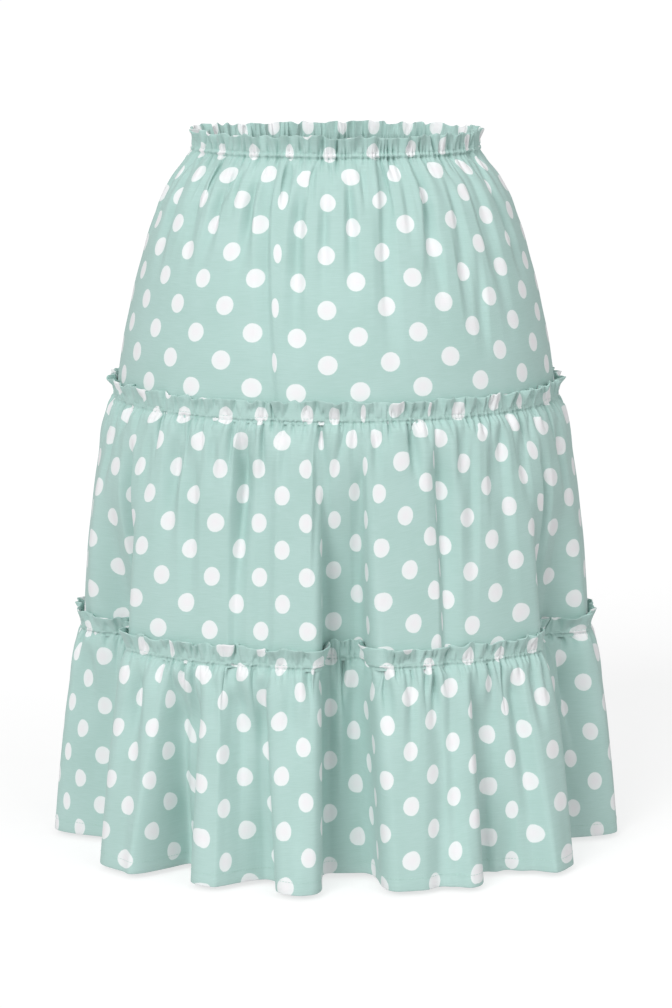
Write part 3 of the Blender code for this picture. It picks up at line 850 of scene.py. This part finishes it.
def stitching(name, strip, side, material):
    """The stitches of one half strip, as short lengths of thread that lie on the cloth."""
    columns = strip.tier.columns
    chosen = np.arange(side * columns, (side + 1) * columns + 1) % (2 * columns)
    points, faces = [], []
    for below in all_stitch_rows(strip):
        placed, outward, _, _ = strip.row(strip.tier.seam_z - below, 0.0)
        line, out = placed[chosen], outward[chosen]
        run = np.concatenate([[0], np.cumsum(np.linalg.norm(np.diff(line, axis=0), axis=1))])
        last_start = run[-1] - STITCH_LENGTH - UNSTITCHED
        for start in np.arange(UNSTITCHED, last_start, STITCH_LENGTH + STITCH_GAP):
            ends = np.array([value_at(start, run, line), value_at(start + STITCH_LENGTH, run, line)])
            away = value_at(start + STITCH_LENGTH / 2, run, out)
            faces += stitch_faces(len(points) * len(THREAD_PROFILE) * THREAD_SIDES)
            points.append(stitch_points(ends, away))
    mesh = bpy.data.meshes.new(name)
    mesh.from_pydata(np.concatenate(points) * MM, [], faces)
    mesh.shade_smooth()
    mesh.materials.append(material)
    piece = bpy.data.objects.new(name, mesh)
    bpy.context.scene.collection.objects.link(piece)
    return piece


# ------------------------------------------------------------------------------------------- materials

MINT = (0.400, 0.580, 0.538, 1)
PALE_MINT = (0.445, 0.622, 0.588, 1)
DOT_WHITE = (0.80, 0.838, 0.838, 1)
DOT_ROSE = (0.82, 0.815, 0.83, 1)
THREAD_MINT = (0.42, 0.595, 0.545, 1)
THREAD_PALER = 1.15  # how much paler the thread's lightest fibres are
WHITE = (1, 1, 1, 1)
PAPER = (0.36, 0.36, 0.36, 1)
PALE_PAPER = (0.38, 0.38, 0.38, 1)

# The materials' looks. A grain is a noise's scale, for a millimetre of cloth, or a metre elsewhere.
EDGE_GRAIN = 0.7
EDGE_BLEED = 0.8  # how far a dot's edge wanders
EDGE_BLUR = 0.45  # to each side of a dot's edge
STREAK_GRAIN = (0.06, 1.1, 1.0)
PATCH_GRAIN = 0.02
STREAK_SHARE = 0.6  # of the tone, the rest of which is the patches
KNIT_WALE = 1.05  # from one rib of the knit to the next
KNIT_COURSE = 0.8  # from one row of the knit to the next
KNIT_POINT = 2.2  # how far, in radians, a loop's middle is behind its legs
KNIT_RAISED = 1.4
KNIT_SHARE = 0.25  # of the relief, beside the streaks
KNIT_RELIEF = 0.35
KNIT_STRENGTH = 0.35
THREAD_GRAIN = 900.0
THREAD_RELIEF = 0.1
THREAD_STRENGTH = 0.3
PAPER_GRAIN = 40.0

# A mix node's sockets for colours.
MIX_FIRST = 6
MIX_SECOND = 7
MIX_RESULT = 2


class Graph:
    """Short calls for a material's nodes."""

    def __init__(self, name):
        self.material = bpy.data.materials.new(name)
        self.material.use_nodes = True
        self.tree = self.material.node_tree
        self.shader = self.tree.nodes["Principled BSDF"]

    def add(self, kind, inputs, output=0, **settings):
        """A new node's output, with its settings made and its inputs set or linked."""
        made = self.tree.nodes.new(kind)
        for name, value in settings.items():
            setattr(made, name, value)
        for socket, value in inputs.items():
            if isinstance(value, bpy.types.NodeSocket):
                self.tree.links.new(value, made.inputs[socket])
            else:
                made.inputs[socket].default_value = value
        return made.outputs[output]

    def maths(self, operation, *values):
        return self.add("ShaderNodeMath", dict(enumerate(values)), operation=operation)

    def vector(self, operation, *values):
        output = "Value" if operation == "LENGTH" else "Vector"
        return self.add("ShaderNodeVectorMath", dict(enumerate(values)), output, operation=operation)

    def noise(self, place, scale, detail=2.0):
        inputs = {"Vector": place, "Scale": scale, "Detail": detail, "Roughness": 0.5}
        return self.add("ShaderNodeTexNoise", inputs, "Fac")

    def mixed(self, share, first, second):
        """A colour between two others."""
        inputs = {"Factor": share, MIX_FIRST: first, MIX_SECOND: second}
        return self.add("ShaderNodeMix", inputs, MIX_RESULT, data_type="RGBA")

    def ranged(self, value, low, high, to_low, to_high):
        inputs = {"Value": value, "From Min": low, "From Max": high, "To Min": to_low, "To Max": to_high}
        return self.add("ShaderNodeMapRange", inputs, interpolation_type="SMOOTHSTEP")


def dot_distance(graph, cloth, shift):
    """The distance to the nearest dot's centre in one of the print's two grids."""
    cell = (DOT_ACROSS, DOT_DOWN, 1.0)
    moved = graph.vector("ADD", cloth, shift)
    within = graph.vector("FRACTION", graph.vector("DIVIDE", moved, cell))
    centred = graph.vector("SUBTRACT", within, (0.5, 0.5, 0.0))
    return graph.vector("LENGTH", graph.vector("MULTIPLY", centred, (DOT_ACROSS, DOT_DOWN, 0.0)))


def jersey(name):
    """Dotted cotton jersey: fine ribs of knitting, faint streaks, and a staggered print of dots."""
    graph = Graph(name)
    cloth = graph.add("ShaderNodeAttribute", {}, "Vector", attribute_name="cloth")
    half = (DOT_ACROSS / 2, DOT_DOWN / 2, 0.0)
    between = dot_distance(graph, cloth, half)
    nearest = graph.maths("MINIMUM", between, dot_distance(graph, cloth, (0, 0, 0)))
    wander = graph.maths("SUBTRACT", graph.noise(cloth, EDGE_GRAIN), 0.5)
    edge = graph.maths("ADD", nearest, graph.maths("MULTIPLY", wander, EDGE_BLEED))
    is_dot = graph.ranged(edge, DOT_RADIUS - EDGE_BLUR, DOT_RADIUS + EDGE_BLUR, 1.0, 0.0)
    streaks = graph.noise(graph.vector("MULTIPLY", cloth, STREAK_GRAIN), 1.0, 3.0)
    patches = graph.noise(cloth, PATCH_GRAIN, 2.0)
    streak_tone = graph.maths("MULTIPLY", streaks, STREAK_SHARE)
    patch_tone = graph.maths("MULTIPLY", patches, 1 - STREAK_SHARE)
    tone = graph.ranged(graph.maths("ADD", streak_tone, patch_tone), 0.3, 0.7, 0.0, 1.0)
    ground = graph.mixed(tone, MINT, PALE_MINT)
    rose = graph.ranged(nearest, 1.0, DOT_RADIUS, 1.0, 0.0)
    dot = graph.mixed(rose, DOT_WHITE, DOT_ROSE)
    colour = graph.mixed(is_dot, ground, dot)
    graph.tree.links.new(colour, graph.shader.inputs["Base Color"])
    place = graph.add("ShaderNodeSeparateXYZ", {"Vector": cloth}).node
    across = graph.maths("MULTIPLY", place.outputs["X"], 2 * math.pi / KNIT_WALE)
    slant = graph.maths("ABSOLUTE", graph.maths("SINE", graph.maths("MULTIPLY", across, 0.5)))
    rows = graph.maths("MULTIPLY", place.outputs["Y"], 2 * math.pi / KNIT_COURSE)
    loops = graph.maths("SINE", graph.maths("ADD", rows, graph.maths("MULTIPLY", slant, KNIT_POINT)))
    knit = graph.maths("MULTIPLY", graph.maths("ADD", loops, KNIT_RAISED), slant)
    height = graph.maths("ADD", graph.maths("MULTIPLY", knit, KNIT_SHARE), streaks)
    bump = {"Height": height, "Strength": KNIT_STRENGTH, "Distance": KNIT_RELIEF * MM}
    graph.tree.links.new(graph.add("ShaderNodeBump", bump, "Normal"), graph.shader.inputs["Normal"])
    graph.shader.inputs["Roughness"].default_value = 0.86
    graph.shader.inputs["Specular IOR Level"].default_value = 0.25
    graph.shader.inputs["Sheen Weight"].default_value = 0.18
    graph.shader.inputs["Sheen Roughness"].default_value = 0.45
    return graph.material


def thread(name):
    """Spun thread, a little uneven in colour."""
    graph = Graph(name)
    place = graph.add("ShaderNodeTexCoord", {}, "Object")
    tone = graph.noise(place, THREAD_GRAIN)
    pale = tuple(THREAD_PALER * part for part in THREAD_MINT[:3]) + (1,)
    colour = graph.mixed(graph.ranged(tone, 0.35, 0.65, 0.0, 1.0), THREAD_MINT, pale)
    graph.tree.links.new(colour, graph.shader.inputs["Base Color"])
    bump = {"Height": tone, "Strength": THREAD_STRENGTH, "Distance": THREAD_RELIEF * MM}
    graph.tree.links.new(graph.add("ShaderNodeBump", bump, "Normal"), graph.shader.inputs["Normal"])
    graph.shader.inputs["Roughness"].default_value = 0.7
    return graph.material


# ----------------------------------------------------------------------------------------------- stage

FLOOR_GAP = 5.0  # below the hem
FLOOR_HALF_SIDE = 60.0  # in metres, as the camera's place is
CAMERA_PLACE = (0.0, -3.15, 0.271)
CAMERA_TILT = 79.04
CAMERA_LENS = 120.7
CAMERA_FILM = 36.0  # the width of its film
SKY_STRENGTH = 0.48
FLOOR_GLOW = 0.69  # the floor is lit from below, as a shadowless table is
Sun = namedtuple("Sun", "name strength spread tilt turn")
SUNS = (
    Sun("key_light", strength=1.95, spread=32.0, tilt=60.0, turn=-29.0),
    Sun("fill_light", strength=0.75, spread=50.0, tilt=60.0, turn=46.0),
)


def floor_material():
    graph = Graph("floor_paper")
    grain = graph.noise(graph.add("ShaderNodeTexCoord", {}, "Object"), PAPER_GRAIN)
    colour = graph.mixed(grain, PAPER, PALE_PAPER)
    graph.tree.links.new(colour, graph.shader.inputs["Base Color"])
    graph.shader.inputs["Roughness"].default_value = 0.95
    graph.shader.inputs["Specular IOR Level"].default_value = 0.0
    graph.shader.inputs["Emission Color"].default_value = WHITE
    graph.shader.inputs["Emission Strength"].default_value = FLOOR_GLOW
    return graph.material


def make_stage():
    side = FLOOR_HALF_SIDE
    z = (HEM_Z - FLOOR_GAP) * MM
    mesh = bpy.data.meshes.new("floor")
    corners = [(-side, -side, z), (side, -side, z), (side, side, z), (-side, side, z)]
    mesh.from_pydata(corners, [], [(0, 1, 2, 3)])
    mesh.materials.append(floor_material())
    floor = bpy.data.objects.new("floor", mesh)
    bpy.context.scene.collection.objects.link(floor)
    floor.visible_diffuse = False
    world = bpy.data.worlds.new("studio")
    world.use_nodes = True
    background = world.node_tree.nodes["Background"]
    background.inputs["Color"].default_value = WHITE
    background.inputs["Strength"].default_value = SKY_STRENGTH
    bpy.context.scene.world = world
    for sun in SUNS:
        light = bpy.data.lights.new(sun.name, "SUN")
        light.energy = sun.strength
        light.angle = math.radians(sun.spread)
        lamp = bpy.data.objects.new(sun.name, light)
        lamp.rotation_euler = (math.radians(sun.tilt), 0, math.radians(sun.turn))
        bpy.context.scene.collection.objects.link(lamp)
    bpy.context.scene.view_settings.view_transform = "Standard"


def make_camera():
    data = bpy.data.cameras.new("camera")
    data.lens = CAMERA_LENS
    data.sensor_width = CAMERA_FILM
    camera = bpy.data.objects.new("camera", data)
    camera.location = CAMERA_PLACE
    camera.rotation_euler = (math.radians(CAMERA_TILT), 0, 0)
    bpy.context.scene.collection.objects.link(camera)
    bpy.context.scene.camera = camera


# ------------------------------------------------------------------------------------------------ main


def make_tier(tier, upper, thread_material):
    strip = Strip(tier, upper)
    grid, across, down = strip.rows()
    material = jersey(f"{tier.name}_jersey")
    for side, word in enumerate(("front", "back")):
        node = f"{tier.name}_{word}"
        piece = half_sheet(f"{node}_cloth", strip, grid, across, down, side, material)
        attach(piece, "root")
        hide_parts(node)
        stitches = stitching(f"{node}_stitching", strip, side, thread_material)
        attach(stitches, "root")


def main():
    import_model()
    make_camera()
    make_stage()
    thread_material = thread("mint_thread")
    upper = None
    for tier in TIERS:
        make_tier(tier, upper, thread_material)
        upper = tier


main()
